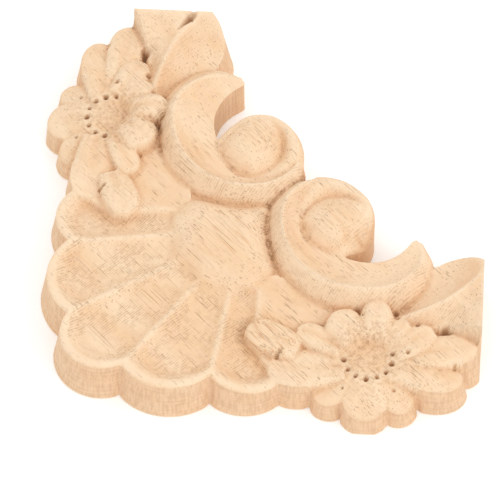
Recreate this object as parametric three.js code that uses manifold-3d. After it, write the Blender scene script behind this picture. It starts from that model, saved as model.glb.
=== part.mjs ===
// Carved corner applique: a scallop shell at the outer corner, a shield boss behind it,
// two mirrored scrolls with round eyes, and a flower with a leaf end on each arm.
// It is one piece of wood with a flat back. Millimetres, +Z up, back at z = 0, with the
// origin under the middle of the bounding square. X and Y run along the two arms, and the
// forms mirror across the plane X = Y.
import * as THREE from 'three';
import { mergeVertices } from 'three/addons/utils/BufferGeometryUtils.js';
import Module from 'manifold-3d';

const wasm = await Module();
wasm.setup();

// Overall sizes
const ARM_LENGTH = 100;        // from the corner of the bounding square to each cut end
const BOARD_THICKNESS = 16;    // left standing in full at the cut ends
const DRAFT = 0.17;            // lean of the outline walls, as run over rise
const WOOD = '#f6dab5';

// The carving keeps its proportions: plan places below are hundredths of the arm length,
// counted from the corner of the square, and heights are sixteenths of the thickness
const FULL = 100;
const TOP = 16;
const PLAN = ARM_LENGTH / FULL;
const RISE = BOARD_THICKNESS / TOP;
const BELOW = 1;               // every form starts this far below the back and is cut flat

// Shell: heights at half-lobe steps outwards from the middle lobe
const LIP_WIDTH = 2.4;
const LIP_SWELL = 0.4;
const LIP_STEP = 0.3;          // how far the flute's floor drops at the lip's root
const LIP_HEIGHT = [10.4, 10.2, 9.8, 9.4, 8, 6.8];
const FLUTE_DEPTH = 2.2;
const FLUTE_CREST = 3;         // how quickly the ridge between two flutes falls away
const FLUTE_AT_BOSS = 8;
const RIDGE_AT_BOSS = 8.7;
const LOBE_RADIUS = [9.7, 13.2, 10.6];
const LOBE_STEPS = 8;
const FLUTE_ROWS = [0, 0.25, 0.5, 0.72, 0.9];
const LIP_ROWS = [0, 0.3, 0.75, 1];
const SHELL_NOTCHES = [[20.8, 7.6], [41, 6.2], [56.3, 6.5]];
const SHELL_ROOTS = [[39.2, 35.2], [45, 34.6], [52, 34]];

// Boss
const BOSS_MIDDLE = 43;
const BOSS_HEIGHT = 11.8;
const BOSS_EDGE = 8.4;
const BOSS_ROUNDING = 4;
const BOSS_STEPS = [36, 5];
const BOSS_OUTLINE = [[35, 35], [38, 32], [44.2, 30.8], [50, 30.8], [53.6, 34.2], [53, 40],
  [52.4, 46], [52.6, 52.6]];

// Scroll: ridge, outer foot and inner edge at matching stations, from the axis to the tip
const RIDGE = [[62.6, 58, 12.8], [58.6, 55.6, 13.8], [55.6, 51, 14.4], [55.1, 45.4, 14.4],
  [56.2, 40.3, 14.4], [59.2, 35.2, 14.4], [63.8, 31.4, 14.4], [69, 29.5, 14.4],
  [74.2, 29, 14.2], [78.8, 30, 13.7], [82.4, 32.4, 12.9], [85, 35.8, 12],
  [86.2, 39.6, 11.2], [85.7, 43.6, 10.2]];
const OUTER_FOOT = [[60.8, 59.6, 9], [55, 58.2, 8], [51.3, 52.4, 7.8], [51.2, 46, 8],
  [52.5, 40.2, 8], [55.7, 34, 8], [60.9, 28.8, 8], [67.4, 26, 7.6],
  [73.8, 25.2, 7.6], [79.6, 26, 7.6], [84.6, 28.8, 7.8], [88, 33, 8.2],
  [88.9, 38.4, 8.8], [86.2, 43.9, 9.8]];
const INNER_EDGE = [[65.4, 53.4, 11.2], [61.6, 52.4, 11], [59.3, 49.6, 10.7], [59, 45.6, 10.6],
  [60.9, 42.4, 10.4], [63.8, 40.8, 10.2], [67.2, 39.8, 10], [70.8, 38.7, 9.9],
  [74.6, 38.2, 9.8], [78.2, 39, 9.7], [81.2, 40.7, 9.8], [83, 42.6, 10],
  [84, 44, 10.2], [84.9, 44.7, 10]];
const SLOPE_BOW = 0.5;
const CHANNEL_SAG = 1.1;
const CHANNEL_LEAN = 0.7;      // below 1, a channel is deepest close to its ridge
const TIP_FADE = 6;            // the channel closes over this power of the way to the tip
const BAND_STEPS = 39;
const BAND_ROWS = [-1, -0.5, 0, 0.14, 0.36, 0.65, 1];

// Scroll eye
const EYE = [66.9, 46.6];
const EYE_TOP = 14.4;
const EYE_ROUNDING = 2.4;
const EYE_CREASE = 7.6;
const VOLUTE_RIM_WIDTH = 1.4;

// Volute: reach of its outline from the eye, and heights of the crease round the eye, of the
// band and of the outline's rim, at even steps of a full turn from the start angle
const VOLUTE_START_ANGLE = -55;
const VOLUTE_REACH = [7.3, 7.7, 8.3, 8.9, 9.6, 10.4, 11.8, 13.4, 12, 9.6, 8.2, 7.8, 7.5, 7.3, 7.3];
const CREASE_HEIGHT = [11.8, 12.8, 13.4, 13.4, 13, 12, 11.4, 11.2, 11, 10.8, 10.6, 10.4, 10.4, 10.6, 11];
const BAND_HEIGHT = [11.6, 12.6, 13.4, 13.4, 13.4, 13.4, 13.4, 13, 11.8, 10.8, 10.4, 10.2, 10.2,
  10.2, 10.6];
const RIM_HEIGHT = [10.8, 11.6, 12, 12, 12, 12, 12, 11.8, 10.8, 10.2, 9.8, 9.6, 9.6, 9.8, 10.2];
const VOLUTE_STEPS = 40;
const KNOB_ROWS = [0, 0.35, 0.65, 0.88, 1];
const VOLUTE_ROWS = [0.3, 0.75, 1];

// Leaf end: ridge, inner edge and outer foot, from the flower to the cut end
const LEAF_RIDGE = [[80.6, 23.7, 10], [84.4, 24.6, 11.6], [88.4, 25.9, 12.8],
  [92.5, 27.9, 13.8], [96.3, 30.6, 14.9], [FULL, 33.8, TOP]];
const LEAF_INNER = [[84, 33, 9], [87.5, 36.5, 9.2], [91.5, 39, 9.8],
  [95, 39.4, 11.4], [98, 38.2, 14], [FULL, 36.4, TOP]];
const LEAF_FOOT = [[80.8, 21.4, 8], [85, 21.6, 8.4], [89.5, 22, 8.8],
  [93.5, 21.4, 10.4], [97, 20, 13.6], [FULL, 18.6, TOP]];
const LEAF_SAG = 2.2;
const LEAF_BOW = 0.8;
const LEAF_STEPS = 10;
const LEAF_ROWS = [-1, -0.6, -0.3, 0, 0.15, 0.4, 0.7, 1];

// Flower: petals and leaves run from a root to a tip
const FLOWER = [75.5, 14.8];
const DISC_RADIUS = 6;
const DISC_HEIGHT = 7.6;
const DISC_SWELL = 0.6;
const DISC_PITS = 12;
const PIT_DEPTH = 1.2;
const PIT_ROW = 2;             // the row of the disc that holds the pits
const DISC_ROWS = [0, 0.65, 0.9, 1];
const PETALS = [
  { root: [73, 12.4], tip: [64.2, 4.6], width: 8.6, rootHeight: 7.8, tipHeight: 4.6, crown: 0.8 },
  { root: [75.4, 12.5], tip: [75, 0], width: 10.6, rootHeight: 8, tipHeight: 4.8, crown: 1 },
  { root: [77.6, 12.4], tip: [84.9, 3.1], width: 8.2, rootHeight: 7.8, tipHeight: 4.2, crown: 0.8 },
  { root: [79, 13.2], tip: [96.8, 10.3], width: 9.8, rootHeight: 8, tipHeight: 7, crown: 1 },
  { root: [84, 15.6], tip: [FULL, 18], width: 9.4, rootHeight: 8.4, tipHeight: 9.6, crown: 1.1 },
  { root: [80, 15.4], tip: [90.4, 21.8], width: 8.4, rootHeight: 8.8, tipHeight: 10, crown: 1 },
  { root: [78.4, 17.4], tip: [84.4, 23.8], width: 6.6, rootHeight: 9, tipHeight: 10.2, crown: 0.9 },
  { root: [76.6, 17.8], tip: [77.2, 28.6], width: 8.8, rootHeight: 9.8, tipHeight: 11.2, crown: 1.8 },
  { root: [73.8, 17], tip: [67, 25.2], width: 10.2, rootHeight: 9.6, tipHeight: 10.6, crown: 1.8 },
  { root: [71, 15.4], tip: [59, 21.4], width: 7.2, rootHeight: 8.8, tipHeight: 9.4, crown: 1.1 },
  { root: [61.4, 15.6], tip: [47.6, 20.8], width: 9.4, rootHeight: 8.6, tipHeight: 9.4, crown: 1.2 },
  { root: [71.5, 12.4], tip: [52.8, 11], width: 10.4, rootHeight: 8, tipHeight: 7.4, crown: 0.8 },
];
const PETAL_GROOVE = 0.35;
const PETAL_GROOVE_WIDTH = 0.25;
const PETAL_BELLY = 0.6;       // share of the length at which a petal is widest
const PETAL_ROOT_WIDTH = 0.7;  // share of the width at the root
const PETAL_START = 0.15;      // where on its half wave a petal's crown starts and ends
const PETAL_END = 0.97;
const PETAL_STEPS = 6;
const PETAL_ROWS = [0, 0.3, 0.6, 0.82, 0.95, 1];

// Ground between the forms of one arm: its outer and inner borders
const GROUND_LOW = [[50, 16, 7.8], [56, 9, 6.8], [61.8, 7.4, 6.2], [69.9, 5.4, 3.9],
  [80.3, 5, 3.9], [87, 8, 5.4], [93.6, 12.8, 6.6], [FULL, 19, 9.6]];
const GROUND_HIGH = [[50, 34, 9.1], [56, 34, 9.1], [62, 30, 8.9], [70, 27, 8.5],
  [80, 27, 8.1], [87, 32, 8.4], [93.6, 34, 9], [FULL, 36, 12]];
const GROUND_STEPS = [21, 3];

/** Returns a place mirrored across the plane X = Y. */
function swap([x, y, ...rest]) {
  return [y, x, ...rest];
}

/** Returns a value between a and b. */
function mix(a, b, t) {
  return a + (b - a) * t;
}

/** Returns a smooth curve through stations, read by station number over their count. */
function through(stations) {
  return new THREE.CatmullRomCurve3(stations.map((p) => new THREE.Vector3(...p)));
}

/** Reads a list of values at whole steps, evenly between them, and round a closed list. */
function between(list, place) {
  const step = Math.floor(place);
  return mix(list[step % list.length], list[(step + 1) % list.length], place - step);
}

/** Returns the point at share t of the arc from a to b that bulges to its right. */
function arcPoint(a, b, radius, t) {
  const half = Math.hypot(b[0] - a[0], b[1] - a[1]) / 2;
  const rise = Math.sqrt(radius * radius - half * half);
  const ahead = [(b[0] - a[0]) / (2 * half), (b[1] - a[1]) / (2 * half)];
  const sweep = Math.asin(half / radius);
  const angle = mix(-sweep, sweep, t);
  const forth = half + radius * Math.sin(angle);
  const side = rise - radius * Math.cos(angle);
  return [a[0] + ahead[0] * forth - ahead[1] * side, a[1] + ahead[1] * forth + ahead[0] * side];
}

/** Welds points, drops collapsed triangles and turns the body right side out. */
function solid(positions, index) {
  const loose = new THREE.BufferGeometry();
  loose.setAttribute('position', new THREE.Float32BufferAttribute(positions, 3));
  loose.setIndex(index);
  const welded = mergeVertices(loose);
  const corners = welded.attributes.position.array;
  const faces = [];
  let volume = 0;
  for (let k = 0; k < welded.index.count; k += 3) {
    const [a, b, c] = [0, 1, 2].map((n) => welded.index.getX(k + n));
    if (a !== b && b !== c && c !== a) {
      faces.push([a, b, c]);
      const [p, q, r] = [a, b, c].map((n) => new THREE.Vector3().fromArray(corners, 3 * n));
      volume += p.dot(q.cross(r));
    }
  }
  const turned = volume < 0 ? faces.map(([a, b, c]) => [a, c, b]) : faces;
  return new wasm.Manifold(new wasm.Mesh({
    numProp: 3,
    vertProperties: new Float32Array(corners),
    triVerts: new Uint32Array(turned.flat()),
  }));
}

/** Makes a closed solid under a grid of top points, with walls that lean out to the foot. */
function carve(across, along, place, top, foot = null) {
  const upper = [];
  const lower = [];
  const put = (list, [x, y], z) => {
    const [px, py] = place([x, y]);
    list.push((px - FULL / 2) * PLAN, (py - FULL / 2) * PLAN, z * RISE);
  };
  for (let j = 0; j <= along; j += 1) {
    for (let i = 0; i <= across; i += 1) {
      const [u, v] = [i / across, j / along];
      const [x, y, z] = top(u, v);
      const [fx, fy] = foot ? foot(u, v, x, y, z) : [x, y];
      const drop = BELOW / z;
      put(upper, [x, y], z);
      put(lower, [fx + (fx - x) * drop, fy + (fy - y) * drop], -BELOW);
    }
  }
  const count = (across + 1) * (along + 1);
  const at = (i, j) => j * (across + 1) + i;
  const index = [];
  const quad = (a, b, c, d) => index.push(a, b, c, a, c, d);
  for (let j = 0; j < along; j += 1) {
    for (let i = 0; i < across; i += 1) {
      quad(at(i, j), at(i + 1, j), at(i + 1, j + 1), at(i, j + 1));
      quad(count + at(i, j), count + at(i, j + 1), count + at(i + 1, j + 1), count + at(i + 1, j));
    }
    quad(at(0, j), at(0, j + 1), count + at(0, j + 1), count + at(0, j));
    quad(at(across, j + 1), at(across, j), count + at(across, j), count + at(across, j + 1));
  }
  for (let i = 0; i < across; i += 1) {
    quad(at(i + 1, 0), at(i, 0), count + at(i, 0), count + at(i + 1, 0));
    quad(at(i, along), at(i + 1, along), count + at(i + 1, along), count + at(i, along));
  }
  return solid([...upper, ...lower], index);
}

/** Makes a form on the X arm and its mirror on the Y arm. */
function pair(form) {
  return [form((p) => p), form(swap)];
}

/** The shell: five fluted lobes that fan out from the boss. */
function shell() {
  const notches = [...SHELL_NOTCHES.map(swap).reverse(), ...SHELL_NOTCHES];
  const roots = [...SHELL_ROOTS.map(swap).reverse(), ...SHELL_ROOTS];
  const lobes = notches.length - 1;
  const middle = lobes / 2;
  const last = FLUTE_ROWS.length + LIP_ROWS.length - 1;
  const spoke = (u) => {
    const lobe = Math.min(Math.floor(u * lobes), lobes - 1);
    const share = u * lobes - lobe;
    const radius = LOBE_RADIUS[Math.abs(lobe + 0.5 - middle)];
    const rim = arcPoint(notches[lobe], notches[lobe + 1], radius, share);
    const root = [0, 1].map((n) => mix(roots[lobe][n], roots[lobe + 1][n], share));
    const height = between(LIP_HEIGHT, Math.abs(u * lobes - middle) * 2);
    const run = Math.hypot(rim[0] - root[0], rim[1] - root[1]);
    return { rim, root, height, run, ridge: Math.abs(2 * share - 1) ** FLUTE_CREST };
  };
  const top = (u, v) => {
    const { rim, root, height, run, ridge } = spoke(u);
    const row = Math.round(v * last);
    const wallTop = 1 - (DRAFT * height) / run;
    const lipStart = wallTop - LIP_WIDTH / run;
    let reach;
    let z;
    if (row < FLUTE_ROWS.length) {
      const share = FLUTE_ROWS[row];
      reach = share * lipStart;
      const floor = mix(FLUTE_AT_BOSS, height - FLUTE_DEPTH, Math.sin((Math.PI / 2) * share));
      z = mix(floor, mix(RIDGE_AT_BOSS, height, share), ridge);
    } else {
      const share = LIP_ROWS[row - FLUTE_ROWS.length];
      reach = mix(lipStart, wallTop, share);
      z = height + LIP_SWELL * (Math.sin(Math.PI * share) - share ** 4);
      z -= LIP_STEP * (1 - share) ** 3 * (1 - ridge);
    }
    return [mix(root[0], rim[0], reach), mix(root[1], rim[1], reach), z];
  };
  const foot = (u, v, x, y) => (v === 1 ? spoke(u).rim : [x, y]);
  return carve(lobes * LOBE_STEPS, last, (p) => p, top, foot);
}

/** The boss: a low shield between the shell and the scrolls. */
function boss() {
  const ring = [...BOSS_OUTLINE, ...BOSS_OUTLINE.slice(1, -1).reverse().map(swap)];
  const corners = ring.map(([x, y]) => new THREE.Vector3(x, y, 0));
  const edge = new THREE.CatmullRomCurve3(corners, true);
  return carve(...BOSS_STEPS, (p) => p, (u, v) => {
    const rim = edge.getPoint(u);
    const reach = Math.sin((Math.PI / 2) * v);
    return [mix(BOSS_MIDDLE, rim.x, reach), mix(BOSS_MIDDLE, rim.y, reach),
      mix(BOSS_HEIGHT, BOSS_EDGE, reach ** BOSS_ROUNDING)];
  });
}

/** One scroll band: outer slope, crisp ridge and hollow channel. */
function scrollBand(place) {
  const [ridge, outer, inner] = [RIDGE, OUTER_FOOT, INNER_EDGE].map(through);
  const last = BAND_ROWS.length - 1;
  return carve(BAND_STEPS, last, place, (u, v) => {
    const station = BAND_ROWS[Math.round(v * last)];
    const share = Math.abs(station);
    const bow = station <= 0
      ? SLOPE_BOW * Math.sin(Math.PI * share)
      : -CHANNEL_SAG * Math.sin(Math.PI * share ** CHANNEL_LEAN);
    const p = ridge.getPoint(u).lerp((station <= 0 ? outer : inner).getPoint(u), share);
    return [p.x, p.y, p.z + bow * (1 - u ** TIP_FADE)];
  });
}

/** One scroll eye: a round knob, the crease round it and the band that winds over it. */
function eye(place) {
  const last = KNOB_ROWS.length + VOLUTE_ROWS.length - 1;
  return carve(VOLUTE_STEPS, last, place, (u, v) => {
    const row = Math.round(v * last);
    const angle = THREE.MathUtils.degToRad(VOLUTE_START_ANGLE + 360 * u);
    const read = (list) => between(list, u * list.length);
    const [outline, low, band, rim] = [VOLUTE_REACH, CREASE_HEIGHT, BAND_HEIGHT, RIM_HEIGHT].map(read);
    const crease = Math.min(EYE_CREASE, outline - VOLUTE_RIM_WIDTH);
    let reach;
    let z;
    if (row < KNOB_ROWS.length) {
      const share = KNOB_ROWS[row];
      reach = share * crease;
      z = mix(EYE_TOP, low, share ** EYE_ROUNDING);
    } else {
      const share = VOLUTE_ROWS[row - KNOB_ROWS.length];
      reach = mix(crease, outline, share);
      z = mix(low, rim, share ** 3) + (band - low) * Math.sin(Math.PI * share);
    }
    return [EYE[0] + reach * Math.cos(angle), EYE[1] + reach * Math.sin(angle), z];
  });
}

/** One leaf end: a ridge that climbs to the cut end, with a channel inside it. */
function leafEnd(place) {
  const [ridge, inner, outer] = [LEAF_RIDGE, LEAF_INNER, LEAF_FOOT].map(through);
  const last = LEAF_ROWS.length - 1;
  const top = (u, v) => {
    const station = LEAF_ROWS[Math.round(v * last)];
    const share = Math.abs(station);
    const sag = station <= 0
      ? LEAF_BOW * Math.sin(Math.PI * share)
      : LEAF_SAG * Math.sin(Math.PI * share ** CHANNEL_LEAN);
    const p = ridge.getPoint(u).lerp((station <= 0 ? outer : inner).getPoint(u), share);
    return [Math.min(p.x, FULL), p.y, p.z - sag * (1 - u ** 3)];
  };
  const foot = (u, v, x, y, z) => [x, v === 1 ? y + DRAFT * z : y];
  return carve(LEAF_STEPS, last, place, top, foot);
}

/** One petal or leaf of the flower: round tip, narrow root, a crown and a middle groove. */
function petal(place, { root, tip, width, rootHeight, tipHeight, crown }) {
  const length = Math.hypot(tip[0] - root[0], tip[1] - root[1]);
  const ahead = [(tip[0] - root[0]) / length, (tip[1] - root[1]) / length];
  const middle = [mix(root[0], tip[0], PETAL_BELLY), mix(root[1], tip[1], PETAL_BELLY)];
  const last = PETAL_ROWS.length - 1;
  const inset = (z) => 1 - (DRAFT * z) / ((width + length) / 2);
  const top = (u, v) => {
    const t = PETAL_ROWS[Math.round(v * last)];
    const side = 2 * u - 1;
    const half = t < PETAL_BELLY
      ? mix(PETAL_ROOT_WIDTH, 1, Math.sin((Math.PI / 2) * (t / PETAL_BELLY)))
      : Math.sqrt(1 - ((t - PETAL_BELLY) / (1 - PETAL_BELLY)) ** 2);
    const reach = side * half * (width / 2);
    const swell = crown * (1 - side ** 2) * Math.sin(Math.PI * mix(PETAL_START, PETAL_END, t));
    const groove = PETAL_GROOVE * Math.exp(-((side / PETAL_GROOVE_WIDTH) ** 2)) * (1 - t);
    const z = mix(rootHeight, tipHeight, t) + swell - groove;
    const x = root[0] + ahead[0] * length * t - ahead[1] * reach;
    const y = root[1] + ahead[1] * length * t + ahead[0] * reach;
    return [mix(middle[0], x, inset(z)), mix(middle[1], y, inset(z)), z];
  };
  const foot = (u, v, x, y, z) => [mix(middle[0], x, 1 / inset(z)), mix(middle[1], y, 1 / inset(z))];
  return carve(PETAL_STEPS, last, place, top, foot);
}

/** The flower's middle: a low disc with a ring of pits round it. */
function disc(place) {
  const last = DISC_ROWS.length - 1;
  return carve(2 * DISC_PITS, last, place, (u, v) => {
    const angle = u * 2 * Math.PI;
    const row = Math.round(v * last);
    const pit = row === PIT_ROW ? PIT_DEPTH * (1 + Math.cos(angle * DISC_PITS)) / 2 : 0;
    const reach = DISC_ROWS[row] * DISC_RADIUS;
    return [FLOWER[0] + reach * Math.cos(angle), FLOWER[1] + reach * Math.sin(angle),
      DISC_HEIGHT + DISC_SWELL * (1 - DISC_ROWS[row] ** 2) - pit];
  });
}

/** The ground that joins the forms of one arm. */
function ground(place) {
  const [low, high] = [GROUND_LOW, GROUND_HIGH].map(through);
  return carve(...GROUND_STEPS, place, (u, v) => {
    const p = low.getPoint(u).lerp(high.getPoint(u), v);
    return [Math.min(p.x, FULL), p.y, p.z];
  });
}

/** The board that the carving is cut from: flat at the back and square at the arm ends. */
function board() {
  const side = 2 * ARM_LENGTH;
  const box = new THREE.BoxGeometry(side, side, 2 * BOARD_THICKNESS);
  box.translate(-ARM_LENGTH / 2, -ARM_LENGTH / 2, BOARD_THICKNESS);
  box.deleteAttribute('normal');
  box.deleteAttribute('uv');
  const welded = mergeVertices(box);
  return solid([...welded.attributes.position.array], [...welded.index.array]);
}

const forms = [
  shell(),
  boss(),
  ...pair(scrollBand),
  ...pair(eye),
  ...pair(leafEnd),
  ...pair(ground),
  ...pair(disc),
  ...PETALS.flatMap((shape) => pair((place) => petal(place, shape))),
];
const carved = forms.reduce((whole, form) => whole.add(form)).intersect(board()).getMesh();
const geometry = new THREE.BufferGeometry();
geometry.setAttribute('position', new THREE.BufferAttribute(carved.vertProperties, 3));
geometry.setIndex(new THREE.BufferAttribute(carved.triVerts, 1));
geometry.computeVertexNormals();

const applique = new THREE.Mesh(
  geometry,
  new THREE.MeshStandardMaterial({ color: WOOD, roughness: 0.75, metalness: 0 }),
);
applique.name = 'corner_applique';

const part = new THREE.Group();
part.add(applique);

export default part;
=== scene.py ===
"""Looks of a carved corner applique: one piece of raw, pale rubberwood, carved from a flat board.

The carving is a relief over a flat back. Each form of it, such as a lobe of the shell or a
petal, is a sheet of top points. A fine blank is dropped onto the sheets, trimmed to their
outline, given its side walls and back, and then cut with the fine marks of the tools.
"""

import logging
import math
from dataclasses import dataclass, field
from enum import Enum

import bmesh
import bpy
import numpy as np
from mathutils import Matrix, Vector, noise
from mathutils.bvhtree import BVHTree

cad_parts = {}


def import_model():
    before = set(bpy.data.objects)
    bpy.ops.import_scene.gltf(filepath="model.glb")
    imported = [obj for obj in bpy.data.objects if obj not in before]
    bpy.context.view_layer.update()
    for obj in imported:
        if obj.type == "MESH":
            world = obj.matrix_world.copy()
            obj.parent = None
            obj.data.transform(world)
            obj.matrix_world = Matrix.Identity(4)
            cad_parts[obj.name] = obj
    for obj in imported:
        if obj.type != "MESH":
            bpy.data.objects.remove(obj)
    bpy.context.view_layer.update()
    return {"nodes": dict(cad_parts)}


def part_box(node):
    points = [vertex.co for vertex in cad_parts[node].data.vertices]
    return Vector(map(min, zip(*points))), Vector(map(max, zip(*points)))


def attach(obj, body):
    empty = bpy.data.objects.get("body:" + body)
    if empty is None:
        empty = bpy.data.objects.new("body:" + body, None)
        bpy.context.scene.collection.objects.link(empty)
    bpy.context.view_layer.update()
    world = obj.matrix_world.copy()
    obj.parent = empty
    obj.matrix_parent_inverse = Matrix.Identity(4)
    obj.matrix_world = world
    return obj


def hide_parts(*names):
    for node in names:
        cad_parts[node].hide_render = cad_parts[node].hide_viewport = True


Point = tuple[float, float, float]
Place = tuple[float, float]
Colour = tuple[float, float, float, float]

LOG = logging.getLogger("applique")
NODE = "corner_applique"
FULL = 100.0      # the arm length in the carving's own plan units
TOP = 16.0        # the board thickness in the carving's own height units
MM = 0.001


def mix(a: float, b: float, t: float) -> float:
    """Returns the value at share t of the way from a to b."""
    return a + (b - a) * t


def ease(t: float) -> float:
    """Returns a smooth step of t, held between 0 and 1."""
    held = min(max(t, 0.0), 1.0)
    return held * held * (3 - 2 * held)


def between(values: tuple[float, ...], place: float) -> float:
    """Reads a list at whole steps, evenly between them, and round a closed list.

    Args:
        values: the list.
        place: the step to read, which may lie between two entries.

    Returns:
        The value there.
    """
    step = math.floor(place)
    return mix(values[step % len(values)], values[(step + 1) % len(values)], place - step)


def averaged(values: np.ndarray, passes: int) -> np.ndarray:
    """Averages each place of a grid with its neighbours.

    Args:
        values: one value for each place.
        passes: how often this is done.

    Returns:
        The averaged values.
    """
    for _ in range(passes):
        for axis in (0, 1):
            values = (np.roll(values, 1, axis) + 2 * values + np.roll(values, -1, axis)) / 4
    return values


class Curve:
    """A smooth curve through stations, its pace set by the distance between them."""

    def __init__(self, stations: tuple[tuple[float, ...], ...], closed: bool = False) -> None:
        """Keeps the stations.

        Args:
            stations: places or points that the curve goes through.
            closed: whether the curve returns to its first station.
        """
        self.stations = [Vector((*s, 0.0)[:3]) for s in stations]
        self.closed = closed

    def _station(self, index: int) -> Vector:
        """Returns a station, or the reflected one past an open end."""
        count = len(self.stations)
        if self.closed:
            return self.stations[index % count]
        if index < 0:
            return 2 * self.stations[0] - self.stations[1]
        if index >= count:
            return 2 * self.stations[-1] - self.stations[-2]
        return self.stations[index]

    def at(self, share: float) -> Vector:
        """Returns the curve's point at a share of its stations."""
        spans = len(self.stations) - (0 if self.closed else 1)
        place = share * spans
        index = min(math.floor(place), spans - 1)
        t = place - index
        p0, p1, p2, p3 = (self._station(index + k) for k in (-1, 0, 1, 2))
        d1 = max(math.sqrt((p2 - p1).length), 1e-3)
        d0 = math.sqrt((p1 - p0).length) or d1
        d2 = math.sqrt((p3 - p2).length) or d1
        start = ((p1 - p0) / d0 - (p2 - p0) / (d0 + d1) + (p2 - p1) / d1) * d1
        end = ((p2 - p1) / d1 - (p3 - p1) / (d1 + d2) + (p3 - p2) / d2) * d1
        square = 3 * (p2 - p1) - 2 * start - end
        cube = 2 * (p1 - p2) + start + end
        return p1 + t * (start + t * (square + t * cube))


class Marks(Enum):
    """How the tool left a form: the depth of its raster marks, and how rough and how soft it is."""

    SMOOTH = (0.3, 0.5, 0.0)
    RIBBED = (1.0, 0.5, 0.9)
    SLOPED = (0.8, 0.5, 0.0)
    PETAL = (0.45, 1.2, 0.05)
    ROUGH = (0.7, 4.5, 0.0)

    @property
    def ribs(self) -> float:
        """The depth of the raster marks."""
        return self.value[0]

    @property
    def rough(self) -> float:
        """How rough the face is."""
        return self.value[1]

    @property
    def soft(self) -> float:
        """How far the face's edges are worn round."""
        return self.value[2]


@dataclass
class Form:
    """One sheet of the carving: a point for every place (u, v) of a unit square."""

    steps: tuple[int, int] = (60, 60)
    draft: float = 0.17
    marks: Marks = Marks.SMOOTH
    sides: tuple[bool, ...] = (False, True)     # on the X arm as drawn, on the Y arm mirrored

    def point(self, u: float, v: float) -> Point:
        """Returns the sheet's point at (u, v), in plan and height units."""
        raise NotImplementedError

    def hatch(self, v: float) -> float:
        """Returns how strongly the tool marks show at share v of the sheet."""
        return 1.0


@dataclass
class Shell(Form):
    """The fan of five fluted lobes at the outer corner."""

    steps: tuple[int, int] = (320, 120)
    marks: Marks = Marks.RIBBED
    sides: tuple[bool, ...] = (False,)
    lip_width: float = 2.4
    lip_swell: float = 0.4
    lip_share: float = 0.16
    lip_step: float = 0.3
    lip_height: tuple[float, ...] = (10.4, 10.2, 9.8, 9.4, 8, 6.8)
    flute_depth: float = 2.2
    flute_crest: float = 3.8
    scoop_length: float = 0.1
    flute_at_boss: float = 8
    ridge_at_boss: float = 8.7
    lobe_radius: tuple[float, ...] = (9.7, 13.2, 10.6)
    notches: tuple[Place, ...] = ((20.8, 7.6), (41, 6.2), (56.3, 6.5))
    roots: tuple[Place, ...] = ((39.2, 35.2), (45, 34.6), (52, 34))

    @staticmethod
    def _fan(side: tuple[Place, ...]) -> list[Place]:
        """Returns one side's places with their mirrored ones before them."""
        return [(y, x) for x, y in reversed(side)] + list(side)

    @staticmethod
    def _arc(a: Place, b: Place, radius: float, t: float) -> Place:
        """Returns the point at share t of the arc from a to b that bulges outwards."""
        half = math.dist(a, b) / 2
        rise = math.sqrt(radius * radius - half * half)
        ahead = ((b[0] - a[0]) / (2 * half), (b[1] - a[1]) / (2 * half))
        sweep = math.asin(half / radius)
        angle = mix(-sweep, sweep, t)
        forth = half + radius * math.sin(angle)
        side = rise - radius * math.cos(angle)
        return a[0] + ahead[0] * forth - ahead[1] * side, a[1] + ahead[1] * forth + ahead[0] * side

    def point(self, u: float, v: float) -> Point:
        """Returns the shell's point at share u of the fan and share v of a spoke."""
        notches, roots = self._fan(self.notches), self._fan(self.roots)
        lobes = len(notches) - 1
        lobe = min(math.floor(u * lobes), lobes - 1)
        share = u * lobes - lobe
        radius = self.lobe_radius[abs(lobe - lobes // 2)]
        rim = self._arc(notches[lobe], notches[lobe + 1], radius, share)
        root = [mix(roots[lobe][n], roots[lobe + 1][n], share) for n in (0, 1)]
        height = between(self.lip_height, abs(u * lobes - lobes / 2) * 2)
        run = math.dist(rim, root)
        ridge = abs(2 * share - 1) ** self.flute_crest
        wall_top = 1 - self.draft * height / run
        lip_start = wall_top - self.lip_width / run
        if v < 1 - self.lip_share:
            s = v / (1 - self.lip_share)
            reach = s * lip_start
            floor = mix(self.flute_at_boss, height - self.flute_depth, math.sin(math.pi / 2 * s))
            floor += ease(1 - (1 - s) / self.scoop_length) * (self.flute_depth - self.lip_step)
            z = mix(floor, mix(self.ridge_at_boss, height, s), ridge)
        else:
            s = (v - 1 + self.lip_share) / self.lip_share
            reach = mix(lip_start, wall_top, s)
            z = height + self.lip_swell * (math.sin(math.pi * s) - s ** 4)
            z -= self.lip_step * (1 - s) ** 3 * (1 - ridge)
        return mix(root[0], rim[0], reach), mix(root[1], rim[1], reach), z

    def hatch(self, v: float) -> float:
        """Returns how strongly the tool marks show: hardly at all on the lip."""
        return 1.0 if v < 1 - self.lip_share else 0.15


@dataclass
class Boss(Form):
    """The low shield between the shell and the scrolls."""

    steps: tuple[int, int] = (160, 40)
    draft: float = 0
    sides: tuple[bool, ...] = (False,)
    middle: float = 43
    height: float = 11.8
    edge: float = 8.4
    rounding: float = 4
    side: tuple[Place, ...] = ((35, 35), (38, 32), (44.2, 30.8), (50, 30.8), (53.6, 34.2), (53, 40),
                               (52.4, 46), (52.6, 52.6))

    def __post_init__(self) -> None:
        """Draws the closed outline from its one side."""
        back = [(y, x) for x, y in reversed(self.side[1:-1])]
        self.outline = Curve((*self.side, *back), closed=True)

    def point(self, u: float, v: float) -> Point:
        """Returns the boss's point at share u round it and share v outwards."""
        rim = self.outline.at(u)
        reach = math.sin(math.pi / 2 * v)
        return (mix(self.middle, rim.x, reach), mix(self.middle, rim.y, reach),
                mix(self.height, self.edge, reach ** self.rounding))


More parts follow.
